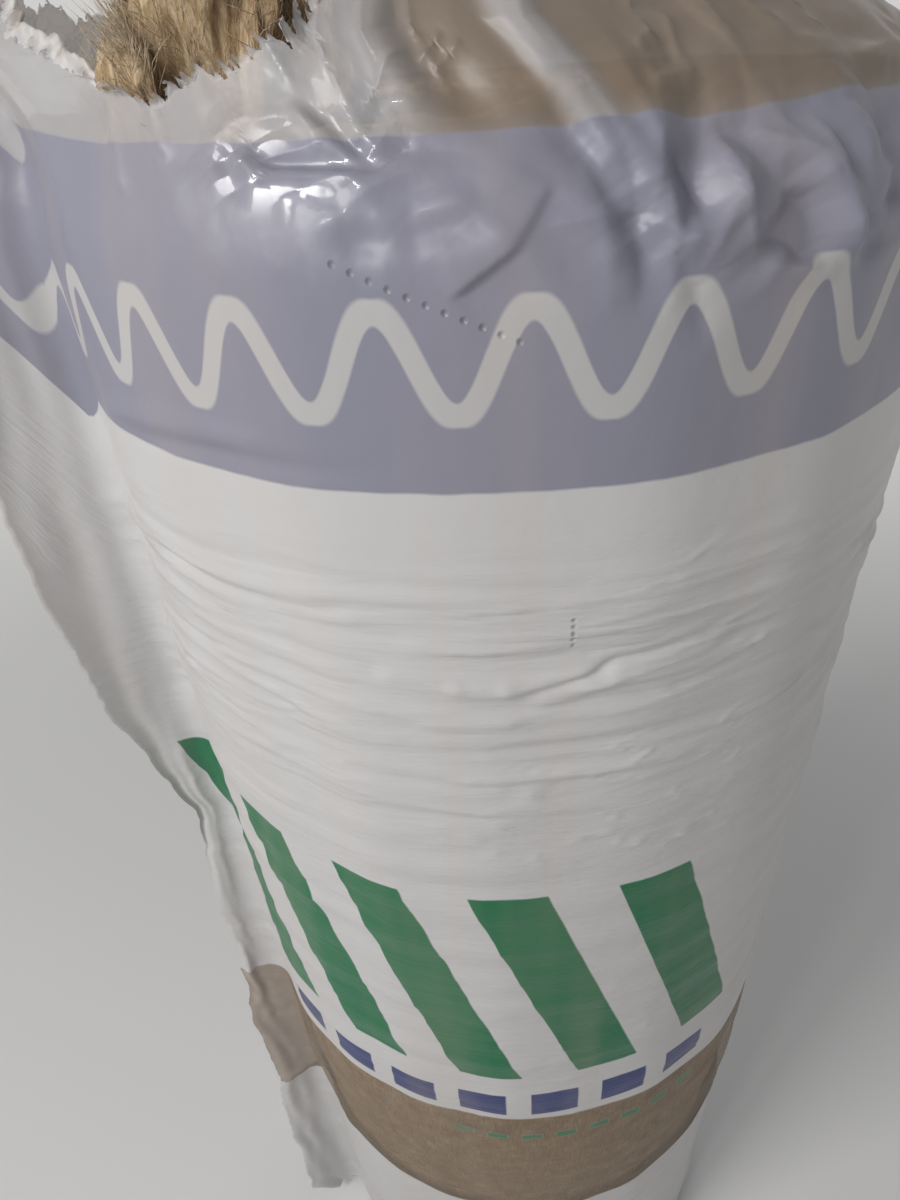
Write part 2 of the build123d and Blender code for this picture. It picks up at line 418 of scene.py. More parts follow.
def fold(around, length, start, end, wide, high, bow=0.0, sharp=1.0):
    """A single fold of the film between two places (azimuth in degrees, length in mm): a ridge, or a
    groove where high is negative, whose cross-section is a bell and which fades at both ends. It bows
    aside by bow mm at its middle. A sharp over 1 flattens its top, and under 1 creases it."""
    to_mm = 1000 * print_radius
    x, y = around * to_mm, length * 1000
    x0, y0 = np.radians(start[0]) * to_mm, start[1]
    x1, y1 = np.radians(end[0]) * to_mm, end[1]
    run = np.hypot(x1 - x0, y1 - y0)
    along = ((x - x0) * (x1 - x0) + (y - y0) * (y1 - y0)) / run**2
    aside = ((x - x0) * (y1 - y0) - (y - y0) * (x1 - x0)) / run
    aside = aside - bow * 4 * along * (1 - along)
    fade = smooth(-0.12, 0.18, along) * (1 - smooth(0.82, 1.12, along))
    return high / 1000 * fade * np.exp(-np.abs(aside / wide) ** (2 * sharp))


def step_fold(around, length, start, end, wide, back, high):
    """A step in the film between two places: it stands high on one side of the line, drops steeply across
    it, and comes back to the smooth outline over the distance back (mm) on both sides."""
    side = fold(around, length, start, end, back, high)
    x, y = 1000 * print_radius * (around - np.radians(start[0])), 1000 * length - start[1]
    x1, y1 = 1000 * print_radius * np.radians(end[0] - start[0]), end[1] - start[1]
    return side * np.tanh((x * y1 - y * x1) / np.hypot(x1, y1) / wide)


def wrapped(angle):
    """The same direction as an angle, given from -pi to pi."""
    return (angle + np.pi) % (2 * np.pi) - np.pi


def tent(value):
    """Triangle wave of unit height: straight slopes and sharp creases."""
    return 2 / np.pi * np.arcsin(np.sin(value))


def crumple(x, y, size, seed, count=5):
    """Crumpled sheet: triangle waves in several directions, each bent by a smooth field, added up. It
    gives flat facets that meet in sharp creases."""
    rng = np.random.default_rng(seed)
    total = 0.0
    for layer in range(count):
        angle = rng.uniform(0, np.pi)
        bend = 1.3 * swell((x, y), (size * 3, size * 3), seed * 31 + layer, 8)
        rate = 2 * np.pi / size * rng.uniform(0.6, 1.6)
        weight = 0.6 + 0.6 * swell((x, y), (size * 2.5, size * 2.5), seed * 57 + layer, 8)
        wave = tent(rate * (np.cos(angle) * x + np.sin(angle) * y) + bend)
        total = total + np.clip(weight, 0, 1.4) * wave
    return total / np.sqrt(count)


def round_swell(around, length, wide, high, seed, count=14):
    """A smooth field on the sleeve with waves of a width round the roll and a height up it, in metres."""
    return swell((around, length), (wide / print_radius, high), seed, count, whole=True)


def creases(around, length, wide, high, seed, thin=0.35):
    """Fine wrinkles: ridges along the zero lines of a smooth field that is long round the roll."""
    field = round_swell(around, length, wide, high, seed, 18)
    strength = np.clip(0.6 + 0.5 * round_swell(around, length, 0.22, 0.06, seed + 100, 8), 0, 1.3)
    return strength * np.exp(-((field / thin) ** 2))


# Folds that handling and the pull of the tear left: start and end (azimuth in degrees, length in mm),
# half width, height and bow in mm, and how flat the top is. The lifted strip is the pale fold under the
# tear that stands off the wool.
lifted_strip = ((4, 1227), (12.6, 1127), 8, 3.6, 0, 1.6)
placed_folds = (
    ((-14, 943), (-5, 938.5), 5, 1.9, -1, 1),
    ((-6, 938.5), (1, 937), 5, 2.2, 0, 1),
    ((0, 937), (10, 941.5), 5, 2.0, 0, 1),
    ((2, 933.5), (12.5, 947), 2.6, -2.3, 2, 1),
    ((11.5, 946), (25, 951.5), 2.6, -2.3, 0, 1),
    ((24, 951), (50, 944), 3.0, -1.6, -2, 1),
    ((3, 927), (13, 940.5), 4.0, 1.6, 2, 1),
    ((12, 940), (26, 945), 4.0, 1.4, 0, 1),
    ((-47, 970), (-30, 969), 3.0, -1.7, 1, 1),
    ((-31, 969), (-17, 973.5), 3.0, -1.6, 0, 1),
    ((-46, 977), (-18, 980), 4.0, 1.2, 1, 1),
    ((-57, 918), (-38, 926), 3.0, -1.8, 1, 1),
    ((-40, 926), (-18, 925), 2.8, -1.6, -1, 1),
    ((-11, 960), (6, 957), 4.0, 1.3, 1, 1),
    ((-10, 914), (2, 916), 3.5, 1.2, 0, 1),
    ((-7, 879), (11, 881), 3.5, 1.1, 0, 1),
    ((-52, 1038), (-22, 1046), 5.0, 2.2, -4, 1),
    ((-44, 1033), (-12, 1038), 4.0, -1.2, -3, 1),
    lifted_strip,
    ((-6, 1236), (2, 1150), 9, -2.6, 4, 1),
    ((12, 1124), (18, 1080), 6, -2.0, -3, 0.6),
    ((-9, 1118), (-1, 1128), 6, 1.4, 0, 1),
    ((5, 1119), (13, 1122), 2.5, 1.2, 0, 0.6),
    ((16, 1139), (18, 1116), 7.0, -5.2, 0, 0.6),
    ((20.5, 1140), (22, 1102), 6, 4.4, 2, 0.5),
    ((12, 1119), (21, 1104), 4, 2.2, 0, 0.6),
    ((26, 1120), (27.5, 1099), 6.5, -5.0, 0, 0.6),
    ((23, 1100), (31, 1094), 4, 2.0, 0, 0.6),
    ((30.5, 1141), (33, 1097), 7, 4.4, 2, 0.5),
    ((24, 1141), (31, 1126), 4, 2.6, 0, 0.6),
    ((-14, 1175), (-18, 1240), 9.0, 3.8, 3, 1),
    ((-4, 1155), (-3, 1225), 6.0, 3.0, -3, 1),
    ((-30.5, 1168), (-29, 1143), 3.2, 1.5, 0, 0.7),
    ((-10.5, 1228), (-9.5, 1160), 3.0, 1.9, 1, 0.5),
    ((-7, 1232), (-5.5, 1168), 3.0, 2.0, -1, 0.5),
    ((-2.5, 1216), (-0.5, 1160), 3.0, 1.7, 0, 0.5),
    ((-16.5, 1204), (-14, 1164), 3.0, 1.8, 0, 0.5),
    ((-2.8, 1173), (-8, 1156), 2.4, 1.6, 0, 0.5),
    ((6, 1235), (9, 1170), 3.5, 1.6, 1, 0.5),
    ((17, 1225), (19, 1165), 4.0, 2.0, -2, 0.5),
    ((28, 1215), (27, 1160), 4.0, 1.8, 2, 0.5),
    ((-37, 1160), (-36, 1130), 4.0, 1.8, 0, 1),
    ((7.2, 1152), (13.9, 1098), 7.5, -4.2, 0, 1),
    ((3, 1146), (0.5, 1106), 11, 1.5, 0, 1),
    ((-13, 1116), (4.5, 1128), 5.5, -1.7, 1.5, 1),
    ((-2, 1170), (1, 1177), 2.2, 1.5, 0, 0.6),
    ((-1, 1167), (2.4, 1174), 2.2, 1.3, 0, 0.6),
    ((17, 1167), (19.2, 1171), 2.4, 1.7, 0, 0.6),
    ((16.8, 1157), (21.5, 1160), 3.0, 1.9, 0, 0.7),
    ((20.5, 1163), (22, 1177), 3.0, 1.9, 0, 0.6),
    ((25, 1195), (27, 1164), 3.4, 2.2, 1, 0.6),
    ((31, 1192), (33, 1166), 3.4, 2.2, -1, 0.6),
    ((37, 1190), (38.5, 1162), 3.6, 2.4, 0, 0.6),
)

# Steps of the film: start and end as above, the width of the drop, the distance back and the height in mm
placed_steps = (
    ((-3.0, 1100), (2.2, 1113.5), 1.0, 15, -1.2),
    ((1.9, 1113), (5.4, 1130), 1.3, 13, -0.9),
    ((-14, 1158), (-9, 1140), 1.4, 5.6, 1.6),
    ((-19, 1140), (-8, 1137), 1.4, 5.6, 1.2),
)


# Crumpled, glossy patches: azimuth in degrees, length, half width in degrees and half height. Two lie side
# by side over the band's upper edge, and one at the right end of the tear.
glossy_places = ((-18.5, 1.142, 5, 0.013), (-8.5, 1.146, 5, 0.013), (-12.0, 1.184, 4, 0.014))


def glossy_patch(degrees, length):
    """The listed patches, each a bell in both directions, added up."""
    total = 0.0
    for azimuth, place, wide, high in glossy_places:
        total = total + np.exp(-(((degrees - azimuth) / wide) ** 2) - ((length - place) / high) ** 2)
    return total


def film_wrinkles(around, length):
    """How far the film stands off its smooth outline, in metres: a sum of fields, each faded in where it
    belongs. Long wrinkles run round the roll below the band, crumples and gathers cover the crown, the
    fin holds the left of the crown outwards, and the placed folds are added one by one. The sum stays over
    a floor, so that the film doesn't sink into the wool."""
    to_centre = np.maximum(profile_length[-1] - length, 0.0)
    x, y = to_centre * np.sin(around), -to_centre * np.cos(around)
    turned = wrapped(around)
    degrees = np.degrees(turned)
    below = band_foot - length
    white = smooth(0.015, 0.06, below)
    tight = white * (1 - 0.55 * smooth(0.17, 0.26, below))
    lower = 1 - smooth(0.40, 0.52, length)
    rise = 0.0006 * round_swell(around, length, 0.12, 0.30, 21)
    rise = rise + 0.0004 * round_swell(around, length, 0.07, 0.9, 22)
    rise = rise + white * 0.0005 * round_swell(around, length, 0.25, 0.034, 27)
    rise = rise + tight * 0.00042 * round_swell(around, length, 0.16, 0.016, 28, 20)
    rise = rise + tight * 0.0011 * creases(around, length, 0.24, 0.027, 23, 0.3)
    rise = rise + tight * 0.0007 * creases(around, length, 0.13, 0.013, 24, 0.3)
    rise = rise + lower * 0.0012 * creases(around, length, 0.28, 0.03, 26)
    crown = smooth(1.10, 1.16, length)
    right = smooth(4, 15, degrees) * (1 - smooth(75, 110, degrees))
    rise = rise + crown * 0.0012 * crumple(x, y, 0.075, 31)
    corner = smooth(1.085, 1.112, length) * (1 - smooth(1.15, 1.19, length))
    rise = rise + corner * (0.0007 + 0.0027 * right) * crumple(x, y, 0.047, 37, 4)
    rise = rise + corner * right * 0.0010 * crumple(x, y, 0.021, 40, 3)
    inner = np.exp(-(((degrees + 112) / 42) ** 2)) * crown
    rise = rise + inner * 0.0060 * crumple(x, y, 0.034, 44, 4)
    gathers = smooth(1.16, 1.25, length) * smooth(0.02, 0.09, to_centre)
    uneven = np.clip(0.8 + 0.5 * swell((x, y), (0.1, 0.1), 34, 8), 0.1, 1.6)
    pleats = tent(23 * around + 1.6 * swell((x, y), (0.14, 0.14), 33, 10))
    rise = rise + gathers * uneven * 0.0030 * pleats
    rise = rise + glossy_patch(degrees, length) * 0.0017 * crumple(x, y, 0.019, 39, 4)
    beside_fin = np.exp(-(((degrees - fin_degrees) / 20) ** 2))
    held_out = beside_fin * smooth(1.12, 1.18, length) * (1 - smooth(1.26, 1.34, length))
    rise = rise + 0.021 * held_out
    for start, end, wide, high, bow, sharp in placed_folds:
        rise = rise + fold(turned, length, start, end, wide, high, bow, sharp)
    for start, end, wide, back, high in placed_steps:
        rise = rise + step_fold(turned, length, start, end, wide, back, high)
    return np.maximum(rise, -0.0034 - 0.004 * smooth(1.10, 1.14, length))


def film_surface(around, length, off=0.0):
    """Points of the film: the profile at this length, turned to this azimuth, moved along its own normal
    by the wrinkles, and leant to the left above the shoulder."""
    radius = np.interp(length, profile_length, profile_radius)
    height = np.interp(length, profile_length, profile_height)
    radius_rate = np.interp(length, profile_length, np.gradient(profile_radius, profile_length))
    height_rate = np.interp(length, profile_length, np.gradient(profile_height, profile_length))
    rise = film_wrinkles(around, length) * smooth(0.0, 0.04, length) + off
    radius = radius + rise * height_rate
    height = height - rise * radius_rate
    lean = crown_lean(height)
    return np.stack([radius * np.sin(around) - lean, -radius * np.cos(around), height], -1)


def spaced(*runs):
    """Evenly spaced values of each run (start, end, step), one after the other, without the last end."""
    return np.concatenate(
        [np.linspace(a, b, int(round((b - a) / step)), endpoint=False) for a, b, step in runs]
    )


# The torn mouth's outline: azimuth in degrees, and distance from the crown's middle in mm
mouth_places = (
    (-11.5, 192), (-12.7, 204), (-17.7, 209), (-23.2, 213), (-25.4, 216), (-29.2, 222), (-33.8, 217),
    (-38.8, 207), (-45, 198), (-55, 192), (-68, 190), (-80, 190), (-90, 187), (-98, 182), (-105, 170),
    (-107, 140), (-95, 108), (-78, 84), (-55, 72), (-40, 70), (-18, 76), (-6, 96), (-3, 125), (-5, 155),
    (-9, 178),
)
mouth_middle = np.array([-0.095, -0.09])


def mouth_reach(heading):
    """Distance from the mouth's middle to its torn edge, for each heading: the outline through the listed
    places, with ragged teeth of two sizes between random headings."""
    azimuth, distance = np.array(mouth_places, dtype=float).T
    x = distance / 1000 * np.sin(np.radians(azimuth)) - mouth_middle[0]
    y = -distance / 1000 * np.cos(np.radians(azimuth)) - mouth_middle[1]
    toward, reach = np.arctan2(x, -y), np.hypot(x, y)
    order = np.argsort(toward)
    edge = np.interp(heading, toward[order], reach[order], period=2 * np.pi)
    rng = np.random.default_rng(7)
    for count, high in ((55, 0.0019), (150, 0.0014)):
        places = np.sort(rng.uniform(-np.pi, np.pi, count))
        edge = edge + high * np.interp(heading, places, rng.normal(size=count), period=2 * np.pi)
    return edge


# The grid is finest at the front. Its first column is the fin's, where the UV map is cut.
around = np.radians(
    spaced((-66, -24, 0.85), (-24, 36, 0.5), (36, 72, 0.85), (72, 205, 2.4), (205, 294, 1.4))
)
side_length = spaced(
    (profile_length[0], 0.0, 0.009),
    (0.0, 0.25, 0.008),
    (0.25, 0.55, 0.0055),
    (0.55, 0.85, 0.0048),
    (0.85, 1.0, 0.0018),
    (1.0, crown_start, 0.0026),
)
side_length = np.append(side_length, crown_start)
side_around, side_along = np.meshgrid(around, side_length)

# From the shoulder's circle to the torn edge the columns run straight, in the flat picture of the crown in
# which each point keeps its azimuth and its distance from the middle. Their rows crowd at the torn edge.
crown_rows, crowding = 237, 1.35
rim_x, rim_y = crown_span * np.sin(around), -crown_span * np.cos(around)
heading = np.arctan2(rim_x - mouth_middle[0], -(rim_y - mouth_middle[1]))
edge_x = mouth_middle[0] + mouth_reach(heading) * np.sin(heading)
edge_y = mouth_middle[1] - mouth_reach(heading) * np.cos(heading)
share = 1 - (1 - np.linspace(0, 1, crown_rows)[1:, None]) ** crowding
flat_x = rim_x + (edge_x - rim_x) * share
flat_y = rim_y + (edge_y - rim_y) * share
crown_along = profile_length[-1] - np.hypot(flat_x, flat_y)
crown_around = np.arctan2(flat_x, -flat_y)

side_points = film_surface(side_around, side_along)
crown_points = film_surface(crown_around, crown_along)

# Past the torn edge each column bends outwards along its own arc. Left of the notch the film is turned
# down flat into a collar, and elsewhere it ends in short ragged flaps.
flap_length, collar_length, lip_end = 0.0060, 0.0085, 1.225
edge_point = crown_points[-1]
inward = crown_points[-1] - crown_points[-8]
inward /= np.linalg.norm(inward, axis=-1, keepdims=True)
outward = np.cross(np.roll(edge_point, -3, 0) - np.roll(edge_point, 3, 0), inward)
outward /= np.linalg.norm(outward, axis=-1, keepdims=True)
outward *= np.sign(np.sum(outward * (edge_point - np.array([-0.02, 0.0, 1.08])), -1, keepdims=True))
edge_degrees = np.degrees(crown_around[-1])
near_lip = crown_along[-1] < lip_end
collar = smooth(-66, -57, edge_degrees) * (1 - smooth(-38, -30, edge_degrees)) * near_lip
ruffle = 0.55 + 0.3 * swell((heading,), (0.05,), 41, 10) + 0.3 * swell((heading,), (0.018,), 42, 10)
ruffle = np.clip(ruffle, 0.08, 1.5)
curl_step = np.linspace(0, 1, 11)[1:, None]
curl_length = flap_length * ruffle * (1 - collar) + (collar_length + 0.0025 * ruffle) * collar
curl_angle = 1.9 * ruffle * curl_step * (1 - collar) + 2.95 * smooth(0.0, 0.32, curl_step) * collar
curl_way = inward * np.cos(curl_angle)[..., None] + outward * np.sin(curl_angle)[..., None]
curl_points = edge_point + np.cumsum(curl_way, 0) * (curl_length / len(curl_step))[:, None]
puckers = 0.0007 * crumple(heading * 0.1 + 0 * curl_step, 0.012 * curl_step + 0 * heading, 0.009, 43, 4)
curl_points = curl_points + outward * (puckers * smooth(0, 0.3, curl_step))[..., None]

film_points = np.concatenate([side_points, crown_points, curl_points])
film_length = np.concatenate([side_along, crown_along, crown_along[-1] + 0 * curl_angle])
film_around = np.concatenate([side_around, crown_around, crown_around[-1] + 0 * curl_angle])
edge_gap = np.linalg.norm(crown_points - curl_points[-1], axis=-1)
curl_gap = (1 - curl_step) * curl_length
edge_gap = np.concatenate([0.2 + 0 * side_along, edge_gap, curl_gap])
film_ahead = np.roll(film_points, -1, 1) - np.roll(film_points, 1, 1)
film_normals = np.cross(film_ahead, np.gradient(film_points, axis=0))
film_normals /= np.maximum(np.linalg.norm(film_normals, axis=-1, keepdims=True), 1e-12)
film_around = np.unwrap(np.concatenate([film_around, film_around[:, :1]], 1), axis=1)
film_around -= np.rint((film_around[:, :1] - fin_azimuth) / (2 * np.pi)) * 2 * np.pi
film_uv = np.stack([film_around * print_radius, np.concatenate([film_length, film_length[:, :1]], 1)], -1)


def film_piece(name, points, uv, closed, marks, normals=None):
    """A piece of film: a grid of points with a UV map and named values for each point. The UV map of a
    closed grid has one column more than its points. Normals are given where two pieces meet smoothly."""
    rows, columns = points.shape[:2]
    quads, row, column = grid_quads(rows, columns, closed)
    mesh = quad_mesh(name, points.reshape(-1, 3), quads)
    corners = [(row, column), (row, column + 1), (row + 1, column + 1), (row + 1, column)]
    corners = np.stack([uv[corner] for corner in corners], 2)
    mesh.uv_layers.new(name="film").data.foreach_set("uv", corners.reshape(-1).astype(np.float32))
    for mark, values in marks.items():
        attribute = mesh.attributes.new(mark, "FLOAT", "POINT")
        attribute.data.foreach_set("value", values.reshape(-1).astype(np.float32))
    if normals is not None:
        mesh.normals_split_custom_set_from_vertices(normals.reshape(-1, 3).tolist())
    piece = bpy.data.objects.new(name, mesh)
    bpy.context.scene.collection.objects.link(piece)
    piece.data.materials.append(film)
    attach(piece, "root")
    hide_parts("film_wrap")
    return piece


def between(tree, value, low, high, soft=0.0006):
    """1 between two values and 0 outside them, with a narrow soft edge."""
    up = tree.nodes.new("ShaderNodeMapRange")
    up.inputs["From Min"].default_value = low - soft
    up.inputs["From Max"].default_value = low + soft
    down = tree.nodes.new("ShaderNodeMapRange")
    down.inputs["From Min"].default_value = high + soft
    down.inputs["From Max"].default_value = high - soft
    for node in (up, down):
        tree.links.new(value, node.inputs["Value"])
    return calc(tree, "MULTIPLY", up.outputs["Result"], down.outputs["Result"])


def printed_marks(tree, across, whole_turn, first, count, share):
    """Equal marks, whole_turn of them to a full turn: count marks from the place called first, and as many
    on the far side. Each mark fills a share of its pitch."""
    pitch = 2 * np.pi * print_radius / whole_turn
    place = calc(tree, "DIVIDE", calc(tree, "SUBTRACT", across, first), pitch)
    number = calc(tree, "FLOORED_MODULO", calc(tree, "FLOOR", place), float(whole_turn))
    far = calc(tree, "SUBTRACT", number, float(whole_turn // 2 + 1))
    sides = [between(tree, start, -0.5, count - 0.5, 0.01) for start in (number, far)]
    filled = between(tree, calc(tree, "FRACT", place), 0.0, share, 0.0006 / pitch)
    return calc(tree, "MULTIPLY", calc(tree, "MAXIMUM", *sides), filled)


def pin_row(tree, place, start, end, count):
    """Row of pin dots between two places on the film's UV map: 1 at each dot's middle, 0 off the dots."""
    start, end = np.array(start), np.array(end)
    run = np.linalg.norm(end - start)
    way_x, way_y = (end - start) / run
    parts = []
    for way in (np.array([way_x, way_y]), np.array([-way_y, way_x])):
        node = tree.nodes.new("ShaderNodeVectorMath")
        node.operation = "DOT_PRODUCT"
        node.inputs[1].default_value = (way[0], way[1], 0.0)
        tree.links.new(place, node.inputs[0])
        parts.append(calc(tree, "SUBTRACT", node.outputs["Value"], float(way @ start)))
    pitch, dot_radius = run / (count - 1), 0.0008
    cell = calc(tree, "FRACT", calc(tree, "DIVIDE", parts[0], pitch))
    cell = calc(tree, "MULTIPLY", calc(tree, "SUBTRACT", cell, 0.5), pitch)
    squares = [calc(tree, "MULTIPLY", part, part) for part in (cell, parts[1])]
    dot = between(tree, calc(tree, "SQRT", calc(tree, "ADD", *squares)), -1.0, dot_radius)
    return calc(tree, "MULTIPLY", dot, between(tree, parts[0], 0.0, run))


def print_group():
    """Shader group of the sleeve's print. In: the film's UV map, azimuth times radius and length along the
    film, in metres. Out: the ink's colour, how much ink there is, the window, and the pin dots."""
    tree = bpy.data.node_groups.new("film_print", "ShaderNodeTree")
    tree.interface.new_socket("Place", in_out="INPUT", socket_type="NodeSocketVector")
    tree.interface.new_socket("Ink", in_out="OUTPUT", socket_type="NodeSocketColor")
    for name in ("Cover", "Window", "Dots"):
        tree.interface.new_socket(name, in_out="OUTPUT", socket_type="NodeSocketFloat")
    entry = tree.nodes.new("NodeGroupInput").outputs["Place"]
    leave = tree.nodes.new("NodeGroupOutput")
    split = tree.nodes.new("ShaderNodeSeparateXYZ")
    tree.links.new(entry, split.inputs[0])
    across, up = split.outputs[0], split.outputs[1]
    waver = calc(tree, "MULTIPLY", calc(tree, "SUBTRACT", noise(tree, entry, 55.0, 2.0), 0.5), 0.0014)
    level = calc(tree, "ADD", up, waver)
    band = between(tree, level, band_foot, 1.2)
    # A wave, 27 to a turn, stands pale in the grey band: the film within half a stroke of its middle line.
    # The distance from that line is the miss in height over the steepness.
    wave_rate, wave_middle, wave_high, half_stroke = 27 / print_radius, 1.0785, 0.0175, 0.0043
    turn = calc(tree, "MULTIPLY", across, wave_rate)
    wave = calc(tree, "MULTIPLY", calc(tree, "SINE", turn), wave_high)
    slope = calc(tree, "MULTIPLY", calc(tree, "COSINE", turn), wave_high * wave_rate)
    steep = calc(tree, "SQRT", calc(tree, "ADD", calc(tree, "MULTIPLY", slope, slope), 1.0))
    miss = calc(tree, "SUBTRACT", calc(tree, "SUBTRACT", level, wave_middle), wave)
    away = calc(tree, "DIVIDE", calc(tree, "ABSOLUTE", miss), steep)
    waves = between(tree, away, -1.0, half_stroke)
    # Green bars that lean to the left, a row of blue dashes, and a thin row of green ones: the marks of
    # each row, and its foot and top. The thin row and the dashes also cover the window.
    lean = calc(tree, "MULTIPLY_ADD", up, 0.32, across)
    mark_rows = (
        ((lean, 17, -0.022, 5, 0.53), (0.577, 0.786)),
        ((across, 27, -0.2, 7, 0.66), (0.522, 0.552)),
        ((across, 54, -0.05, 8, 0.6), (0.478, 0.487)),
    )
    bars, dashes, thin = (
        calc(tree, "MULTIPLY", printed_marks(tree, *marks), between(tree, level, *levels))
        for marks, levels in mark_rows
    )
    # The film is unprinted above the band, and in a ring round the lower part of the roll.
    bare = between(tree, up, band_top, 9.0)
    sag = calc(tree, "MULTIPLY", calc(tree, "COSINE", calc(tree, "DIVIDE", across, print_radius)), 0.02)
    window = between(tree, calc(tree, "SUBTRACT", level, sag), 0.295, 0.492, 0.0012)
    inked = calc(tree, "MAXIMUM", thin, dashes)
    window = calc(tree, "MULTIPLY", window, calc(tree, "SUBTRACT", 1.0, inked))
    white, grey, pale = (0.64, 0.63, 0.625), (0.275, 0.275, 0.345), (0.54, 0.53, 0.525)
    green, blue = (0.004, 0.16, 0.062), (0.025, 0.043, 0.17)
    ink = blend_colour(tree, band, white, grey)
    ink = blend_colour(tree, calc(tree, "MULTIPLY", waves, band), ink, pale)
    ink = blend_colour(tree, calc(tree, "MAXIMUM", bars, thin), ink, green)
    ink = blend_colour(tree, dashes, ink, blue)
    # One slanting row of pin dots in the band, and a short upright row below it
    dots = pin_row(tree, entry, (-0.0538, 1.112), (0.0114, 1.084), 12)
    dots = calc(tree, "MAXIMUM", dots, pin_row(tree, entry, (0.029, 0.956), (0.029, 0.973), 6))
    tree.links.new(ink, leave.inputs["Ink"])
    tree.links.new(calc(tree, "SUBTRACT", 1.0, calc(tree, "MAXIMUM", bare, window)), leave.inputs["Cover"])
    tree.links.new(window, leave.inputs["Window"])
    tree.links.new(dots, leave.inputs["Dots"])
    return tree


def point_value(tree, name):
    """A named value of the mesh's points."""
    node = tree.nodes.new("ShaderNodeAttribute")
    node.attribute_name = name
    return node.outputs["Fac"]


def film_material(name, prints):
    """Polythene film: white ink or bare milky film with a soft gloss, sharper where it is crumpled, fine
    wrinkles in the relief below the crown, warm where it lies on the wool and white where it is torn. Its
    inner face is three quarters painted pale and brown folds: painted shade and painted light of
    crumples, the pale tones standing in for light that shines through the film."""
    material = bpy.data.materials.new(name)
    material.use_nodes = True
    tree = material.node_tree
    shader = tree.nodes["Principled BSDF"]
    place = tree.nodes.new("ShaderNodeTexCoord")
    group = tree.nodes.new("ShaderNodeGroup")
    group.node_tree = prints
    tree.links.new(place.outputs["UV"], group.inputs["Place"])
    torn, warm, shine = (point_value(tree, mark) for mark in ("torn", "warm", "shine"))
    milky = blend_colour(tree, warm, (0.62, 0.62, 0.65), (0.185, 0.138, 0.1))
    cloudy = noise(tree, place.outputs["Object"], 24.0, 3.0)
    milky = blend_colour(tree, calc(tree, "MULTIPLY", cloudy, 0.3), milky, (0.48, 0.4, 0.32))
    milky = blend_colour(tree, group.outputs["Window"], milky, (0.33, 0.25, 0.175))
    base = blend_colour(tree, group.outputs["Cover"], milky, group.outputs["Ink"])
    streaks = noise(tree, stretched(tree, place.outputs["UV"], (22.0, 1.3, 1.0)), 1.0, 2.0)
    streaks = ramp(tree, streaks, [(0.42, (0, 0, 0)), (0.72, (1, 1, 1))])
    base = blend_colour(tree, calc(tree, "MULTIPLY", streaks, 0.17), base, (0.56, 0.44, 0.36))
    behind = tree.nodes.new("ShaderNodeNewGeometry").outputs["Backfacing"]
    # Painted shade and painted light on the inner face: a noise ramp from brown to pale imitates lit and
    # shaded crumples and the light that shines through the film.
    painted_fold_shading = noise(tree, place.outputs["Object"], 70.0, 3.0, 0.5, 1.2)
    painted_fold_stops = [(0.4, (0.42, 0.34, 0.27)), (0.48, (0.8, 0.72, 0.64)), (0.56, (0.95, 0.91, 0.86))]
    painted_fold_shading = ramp(tree, painted_fold_shading, painted_fold_stops)
    base = blend_colour(tree, calc(tree, "MULTIPLY", behind, 0.75), base, painted_fold_shading)
    base = blend_colour(tree, calc(tree, "MULTIPLY", torn, 0.8), base, (0.66, 0.65, 0.65))
    base = blend_colour(tree, calc(tree, "MULTIPLY", group.outputs["Dots"], 0.3), base, (0.16, 0.16, 0.18))
    tree.links.new(base, shader.inputs["Base Color"])
    clear = calc(tree, "MULTIPLY_ADD", warm, 0.22, 0.62)
    clear = calc(tree, "MULTIPLY_ADD", calc(tree, "MULTIPLY", group.outputs["Window"], warm), -0.38, clear)
    printed = calc(tree, "MULTIPLY", group.outputs["Cover"], calc(tree, "SUBTRACT", 0.95, clear))
    solid = calc(tree, "ADD", clear, printed)
    solid = calc(tree, "MAXIMUM", solid, calc(tree, "MULTIPLY", torn, 0.85))
    solid = calc(tree, "MAXIMUM", solid, calc(tree, "MULTIPLY", behind, 0.7))
    # Small bites out of the last few millimetres before the edge
    bites = calc(tree, "MULTIPLY_ADD", noise(tree, place.outputs["Object"], 420.0, 2.0), 8.0, -3.2)
    left = calc(tree, "GREATER_THAN", point_value(tree, "gap"), bites)
    tree.links.new(calc(tree, "MULTIPLY", solid, left), shader.inputs["Alpha"])
    scuff = noise(tree, place.outputs["Object"], 60.0, 4.0)
    rough = calc(tree, "MULTIPLY_ADD", scuff, 0.16, 0.34)
    rough = calc(tree, "MULTIPLY_ADD", shine, -0.04, rough)
    tree.links.new(rough, shader.inputs["Roughness"])
    tree.links.new(shine, shader.inputs["Coat Weight"])
    shader.inputs["Coat Roughness"].default_value = 0.07
    shader.inputs["IOR"].default_value = 1.5
    split = tree.nodes.new("ShaderNodeSeparateXYZ")
    tree.links.new(place.outputs["UV"], split.inputs[0])
    fine = noise(tree, stretched(tree, place.outputs["UV"], (38.0, 230.0, 1.0)), 1.0, 3.0, 0.6, 0.4)
    fine = calc(tree, "MULTIPLY", fine, between(tree, split.outputs[1], -1.0, 1.0, 0.03))
    dents = noise(tree, place.outputs["Object"], 90.0, 2.0)
    height = calc(tree, "MULTIPLY_ADD", dents, 0.35, calc(tree, "MULTIPLY", fine, 0.8))
    height = calc(tree, "MULTIPLY_ADD", group.outputs["Dots"], -0.8, height)
    relief(tree, shader, height, 0.0008)
    return material


film = film_material("film", print_group())
film_degrees = np.degrees(wrapped(film_around[:, :-1]))
lifted = fold(np.radians(film_degrees), film_length, *lifted_strip) / (lifted_strip[3] / 1000)
